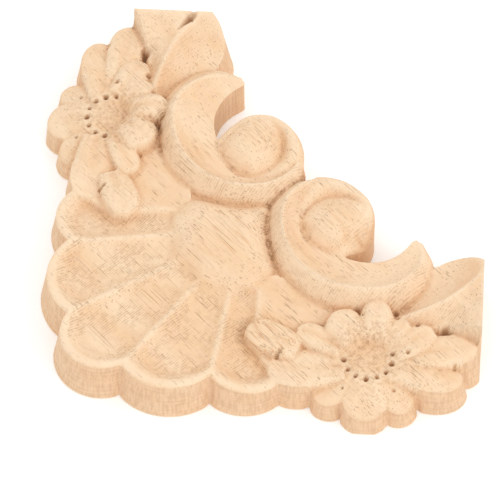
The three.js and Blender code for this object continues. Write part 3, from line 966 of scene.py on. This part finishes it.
class Shade:
    """One socket of a material, with the arithmetic that a shader needs."""

    def __init__(self, tree: bpy.types.NodeTree, socket: bpy.types.NodeSocket) -> None:
        """Wraps a socket of a tree."""
        self.tree = tree
        self.socket = socket

    def _math(self, operation: str, *values: "Shade | float", clamp: bool = False) -> "Shade":
        """Adds a Math node over the values and returns its result."""
        node = self.tree.nodes.new("ShaderNodeMath")
        node.operation = operation
        node.use_clamp = clamp
        for slot, value in zip(node.inputs, values):
            if isinstance(value, Shade):
                self.tree.links.new(value.socket, slot)
            else:
                slot.default_value = value
        return Shade(self.tree, node.outputs[0])

    def __add__(self, other: "Shade | float") -> "Shade":
        """Adds."""
        return self._math("ADD", self, other)

    __radd__ = __add__

    def __sub__(self, other: "Shade | float") -> "Shade":
        """Takes away."""
        return self._math("SUBTRACT", self, other)

    def __rsub__(self, other: float) -> "Shade":
        """Is taken away from a number."""
        return self._math("SUBTRACT", other, self)

    def __mul__(self, other: "Shade | float") -> "Shade":
        """Multiplies."""
        return self._math("MULTIPLY", self, other)

    __rmul__ = __mul__

    def clamped(self) -> "Shade":
        """Holds the value between 0 and 1."""
        return self._math("ADD", self, 0.0, clamp=True)

    def most(self, other: "Shade | float") -> "Shade":
        """Returns the larger of two values."""
        return self._math("MAXIMUM", self, other)

    def step(self, low: float, high: float) -> "Shade":
        """Returns 0 at low, 1 at high and an even rise between them."""
        return ((self - low) * (1 / (high - low))).clamped()


@dataclass(frozen=True)
class Streak:
    """How a noise runs: its pace in each direction, its detail and its roughness."""

    pace: Point
    detail: float = 2
    roughness: float = 0.5


class Palette:
    """Adds nodes to one material."""

    def __init__(self, name: str) -> None:
        """Starts an empty material."""
        self.material = bpy.data.materials.new(name)
        self.material.use_nodes = True
        self.tree = self.material.node_tree
        self.tree.nodes.clear()

    def node(self, kind: str, settings: dict | None = None, **inputs: object) -> bpy.types.Node:
        """Adds a node.

        Args:
            kind: the node's type.
            settings: its properties.
            inputs: values or links of its sockets, by name with _ for a space.

        Returns:
            The node.
        """
        made = self.tree.nodes.new(kind)
        for key, value in (settings or {}).items():
            setattr(made, key, value)
        for key, value in inputs.items():
            wanted = key.replace("_", " ")
            slot = next(s for s in made.inputs if s.enabled and s.name == wanted)
            if isinstance(value, Shade):
                self.tree.links.new(value.socket, slot)
            else:
                slot.default_value = value
        return made

    def out(self, node: bpy.types.Node, name: str) -> Shade:
        """Returns an output of a node."""
        return Shade(self.tree, next(s for s in node.outputs if s.enabled and s.name == name))

    def attribute(self, name: str) -> Shade:
        """Reads a value that the mesh holds at each vertex."""
        return self.out(self.node("ShaderNodeAttribute", {"attribute_name": name}), "Fac")

    def blend(self, factor: Shade, first: Shade | Colour, second: Colour) -> Shade:
        """Mixes two colours."""
        made = self.node("ShaderNodeMix", {"data_type": "RGBA"})
        for slot, value in zip((made.inputs[0], made.inputs[6], made.inputs[7]), (factor, first, second)):
            if isinstance(value, Shade):
                self.tree.links.new(value.socket, slot)
            else:
                slot.default_value = value
        return Shade(self.tree, made.outputs[2])

    def stretched(self, turn: float, scale: tuple[float, float, float]) -> Shade:
        """Returns the object's own coordinates, turned about Z and scaled."""
        where = self.out(self.node("ShaderNodeTexCoord"), "Object")
        turned = self.node("ShaderNodeMapping", Vector=where, Rotation=(0, 0, turn))
        scaled = self.node("ShaderNodeMapping", Vector=self.out(turned, "Vector"), Scale=scale)
        return self.out(scaled, "Vector")

    def level(self) -> Shade:
        """Returns the height above the object's own base plane."""
        where = self.out(self.node("ShaderNodeTexCoord"), "Object")
        return self.out(self.node("ShaderNodeSeparateXYZ", Vector=where), "Z")

    def noise(self, turn: float, streak: Streak) -> Shade:
        """Returns a noise value about 0.5, its long way turned about Z."""
        made = self.node("ShaderNodeTexNoise", Vector=self.stretched(turn, streak.pace), Scale=1.0,
                         Detail=streak.detail, Roughness=streak.roughness)
        return self.out(made, "Fac")


@dataclass(frozen=True)
class RawWood:
    """Raw, pale rubberwood, carved and left without a finish."""

    grain_turn: float = math.radians(45)
    pale: Colour = (0.93, 0.705, 0.482, 1)
    warm: Colour = (0.89, 0.62, 0.385, 1)
    highlight_cream: Colour = (0.945, 0.735, 0.52, 1)
    pink: Colour = (0.905, 0.635, 0.45, 1)
    shade_tan: Colour = (0.80, 0.53, 0.33, 1)
    rust: Colour = (0.72, 0.40, 0.20, 1)
    bark: Colour = (0.60, 0.36, 0.20, 1)
    shadow_brown: Colour = (0.36, 0.18, 0.08, 1)
    pore: Colour = (0.34, 0.19, 0.10, 1)
    clouds: Streak = Streak((40, 110, 110), 3)
    streaks: Streak = Streak((55, 700, 700), 4, 0.6)
    fibres: Streak = Streak((300, 4200, 4200), 2, 0.6)
    rust_lines: Streak = Streak((130, 1700, 1700), 3, 0.6)
    mottle: Streak = Streak((1100, 1100, 1100), 3, 0.65)
    pore_pace: Point = (340, 3400, 3400)
    pore_groups: Streak = Streak((130, 420, 420))
    vessels: Streak = Streak((65, 4000, 4000), 1)
    rib_patches: Streak = Streak((170, 170, 170))
    rib_breaks: Streak = Streak((1100, 800, 800), 1)
    upright: Streak = Streak((2000, 2000, 90), 2, 0.6)
    level: Streak = Streak((110, 110, 2400), 2, 0.6)
    roughness: float = 0.72
    ridge_gap: float = 0.52 * MM
    foot: float = 0.3 * MM

    def material(self) -> bpy.types.Material:
        """Builds the material."""
        kit = Palette("raw_rubberwood")
        crease, crest, steep, hollow, marks, pit, rim, shadow_spot, figure, bloom = (
            kit.attribute(name) for name in ("crease", "crest", "steep", "hollow", "marks", "pit", "rim",
                                             "shadow_spot", "figure", "bloom"))
        wall = kit.attribute("wall") * kit.level().step(0, self.foot)
        clouds, streaks, fibres, lines = (
            kit.noise(self.grain_turn, streak)
            for streak in (self.clouds, self.streaks, self.fibres, self.rust_lines))
        mottle = kit.noise(0, self.mottle)
        inner = (1 - rim).clamped()
        pores = self._pores(kit, figure) * (inner * 0.8 + 0.2)
        # In the shadow spots the tool marks run deeper, so their ribs come out darker there too, as part of
        # the painted shadow.
        ribs = self._ribs(kit, marks.most(steep * 0.6).most(shadow_spot)) * (inner * 0.9 + 0.1)
        chatter = self._chatter(kit)
        # Painted shadow: the creases, the shadow spots and the pits are darkened towards brown.
        crease_shadow = shadow_spot * (crease * 0.75 + 0.25) * (mottle.step(0.4, 0.6) * 0.6 + ribs * 0.7)
        crease_shadow = crease_shadow + crease * mottle.step(0.5, 0.68) * 0.25
        coats = (
            (streaks.step(0.48, 0.7) * 0.6, self.pink),
            # Painted highlight: crests and the edges along the outline are lightened towards cream.
            ((crest * 0.7 + rim * 0.5 * (1 - wall)).clamped(), self.highlight_cream),
            ((figure * 0.3).clamped(), self.warm),
            ((lines.step(0.5, 0.66) * (figure * 0.55 + 0.12)).clamped(), self.rust),
            # Painted shade: broad hollows, steep slopes and most of all the side walls are darkened towards
            # tan.
            ((hollow * 0.08 + steep * 0.05 + wall * 0.54).clamped(), self.shade_tan),
            # Painted shade in the creases, stronger in the hollows, towards rust; the flower middle gets a
            # little of the same tone as its own colour.
            (crease * (hollow * 0.4 + 0.1) + bloom * 0.08, self.rust),
            ((ribs * 0.6).clamped(), self.bark),
            (mottle.step(0.44, 0.62) * bloom * 0.55, self.bark),
            ((crease_shadow + pit * 0.8).clamped() * 0.8, self.shadow_brown),
            (pores * (1 - wall * 0.7) * 0.68, self.pore),
            (chatter * wall * 0.6, self.bark))
        colour = kit.blend(clouds.step(0.43, 0.6), self.pale, self.warm)
        for amount, tone in coats:
            colour = kit.blend(amount, colour, tone)
        height = fibres * 0.3 + streaks * 0.2 - pores * 0.8 - ribs * 1.1
        height = height - chatter * wall * 0.7 + mottle * (crease * 1.2 + bloom * 1.6 + shadow_spot + 0.2)
        bump = kit.node("ShaderNodeBump", Strength=0.6, Distance=0.12 * MM, Height=height)
        rough = (self.roughness + (1 - crest) * 0.08 + pores * 0.1).clamped()
        shader = kit.node("ShaderNodeBsdfPrincipled", Base_Color=colour, Roughness=rough,
                          Normal=kit.out(bump, "Normal"))
        shader.inputs["Specular IOR Level"].default_value = 0.25
        kit.node("ShaderNodeOutputMaterial", Surface=kit.out(shader, "BSDF"))
        return kit.material

    def _pores(self, kit: Palette, figure: Shade) -> Shade:
        """Returns the mask of the short dark pores and the long vessel lines along the grain.

        Args:
            kit: the material's node maker.
            figure: how strongly the wood is figured; there the lines are longer.

        Returns:
            The mask.
        """
        cells = kit.node("ShaderNodeTexVoronoi", Vector=kit.stretched(self.grain_turn, self.pore_pace),
                         Scale=1.0, Randomness=1.0)
        near = 1 - kit.out(cells, "Distance").step(0.15, 0.27)
        sparse = kit.noise(self.grain_turn, self.pore_groups).step(0.54, 0.64)
        vessels = kit.noise(self.grain_turn, self.vessels)
        lines = (vessels + figure * 0.05).step(0.64, 0.74)
        return (near * sparse * 0.6 + lines * 0.9).clamped()

    def _ribs(self, kit: Palette, depth: Shade) -> Shade:
        """Returns the grooves between the ribs that the cutter's passes left, across the grain."""
        patches = kit.noise(self.grain_turn, self.rib_patches).step(0.38, 0.58)
        wave = kit.node("ShaderNodeTexWave", {"wave_type": "BANDS", "bands_direction": "X",
                                              "wave_profile": "SIN"},
                        Vector=kit.stretched(self.grain_turn, (1, 1, 1)),
                        Scale=math.pi / 10 / self.ridge_gap, Distortion=2.2, Detail=1.0, Detail_Scale=0.8)
        broken = kit.noise(self.grain_turn, self.rib_breaks).step(0.4, 0.58)
        return kit.out(wave, "Fac") * (patches * 0.8 + 0.2) * (broken * 0.8 + 0.2) * depth

    def _chatter(self, kit: Palette) -> Shade:
        """Returns the fine upright and level streaks on the side walls."""
        upright, level = (kit.noise(0, streak).step(0.42, 0.62) for streak in (self.upright, self.level))
        return upright * 0.6 + level * 0.4


@dataclass
class Studio:
    """The pale floor, the soft lights and the camera."""

    low: Vector
    high: Vector
    azimuth: float = 3.71
    elevation: float = 56.96
    roll: float = 0.58
    lens: float = 360.0
    distance: float = 1.1166
    aim: Vector = field(default_factory=lambda: Vector((-2.2 * MM, -3.45 * MM, 0)))

    def floor(self) -> None:
        """Lays a plain white floor under the object."""
        bm = bmesh.new()
        bmesh.ops.create_grid(bm, x_segments=1, y_segments=1, size=3)
        mesh = bpy.data.meshes.new("floor")
        bm.to_mesh(mesh)
        bm.free()
        plane = bpy.data.objects.new("floor", mesh)
        plane.location.z = self.low.z - 0.2 * MM
        bpy.context.scene.collection.objects.link(plane)
        kit = Palette("white_paper")
        shader = kit.node("ShaderNodeBsdfPrincipled", Base_Color=(0.95, 0.95, 0.95, 1), Roughness=0.9,
                          Emission_Color=(1, 1, 1, 1), Emission_Strength=0.15)
        kit.node("ShaderNodeOutputMaterial", Surface=kit.out(shader, "BSDF"))
        mesh.materials.append(kit.material)

    @staticmethod
    def _lamp(name: str, place: Point, size: float, power: float) -> None:
        """Hangs one soft square lamp that faces the object."""
        data = bpy.data.lights.new(name, "AREA")
        data.shape = "SQUARE"
        data.size = size
        data.energy = power
        lamp = bpy.data.objects.new(name, data)
        lamp.location = place
        lamp.rotation_euler = (-Vector(place)).to_track_quat("-Z", "Y").to_euler()
        lamp.visible_camera = False
        bpy.context.scene.collection.objects.link(lamp)

    def lights(self) -> None:
        """Sets a large key, a fill and an even, white surround."""
        self._lamp("key", (0.8, -0.55, 0.8), 0.5, 2.2)
        self._lamp("fill", (0.0, 0.0, 1.25), 0.5, 1.2)
        world = bpy.data.worlds.new("surround")
        world.use_nodes = True
        backdrop = world.node_tree.nodes["Background"]
        backdrop.inputs["Color"].default_value = (1, 1, 1, 1)
        backdrop.inputs["Strength"].default_value = 0.93
        bpy.context.scene.world = world
        bpy.context.scene.view_settings.view_transform = "Standard"

    def camera(self) -> None:
        """Sets the camera at the angle from which the object is seen."""
        azimuth, elevation = math.radians(self.azimuth), math.radians(self.elevation)
        back = Vector((math.sin(azimuth) * math.cos(elevation),
                       -math.cos(azimuth) * math.cos(elevation), math.sin(elevation)))
        data = bpy.data.cameras.new("camera")
        data.lens = self.lens
        data.clip_start, data.clip_end = 0.05, 20
        camera = bpy.data.objects.new("camera", data)
        turn = (-back).to_track_quat("-Z", "Y").to_matrix()
        turn = turn @ Matrix.Rotation(-math.radians(self.roll), 3, "Z")
        camera.matrix_world = Matrix.Translation(self.aim + back * self.distance) @ turn.to_4x4()
        bpy.context.scene.collection.objects.link(camera)
        bpy.context.scene.camera = camera


def main(frame: dict) -> None:
    """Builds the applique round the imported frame, lights it and sets the camera."""
    logging.basicConfig(level=logging.INFO, format="%(name)s: %(message)s")
    low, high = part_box(NODE)
    LOG.info("the frame has %d node", len(frame["nodes"]))
    piece = Carving(low, high).build()
    piece.data.materials.append(RawWood().material())
    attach(piece, "root")
    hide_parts(NODE)
    studio = Studio(low, high)
    studio.floor()
    studio.lights()
    studio.camera()


if __name__ == "__main__":
    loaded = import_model()
    main(loaded)
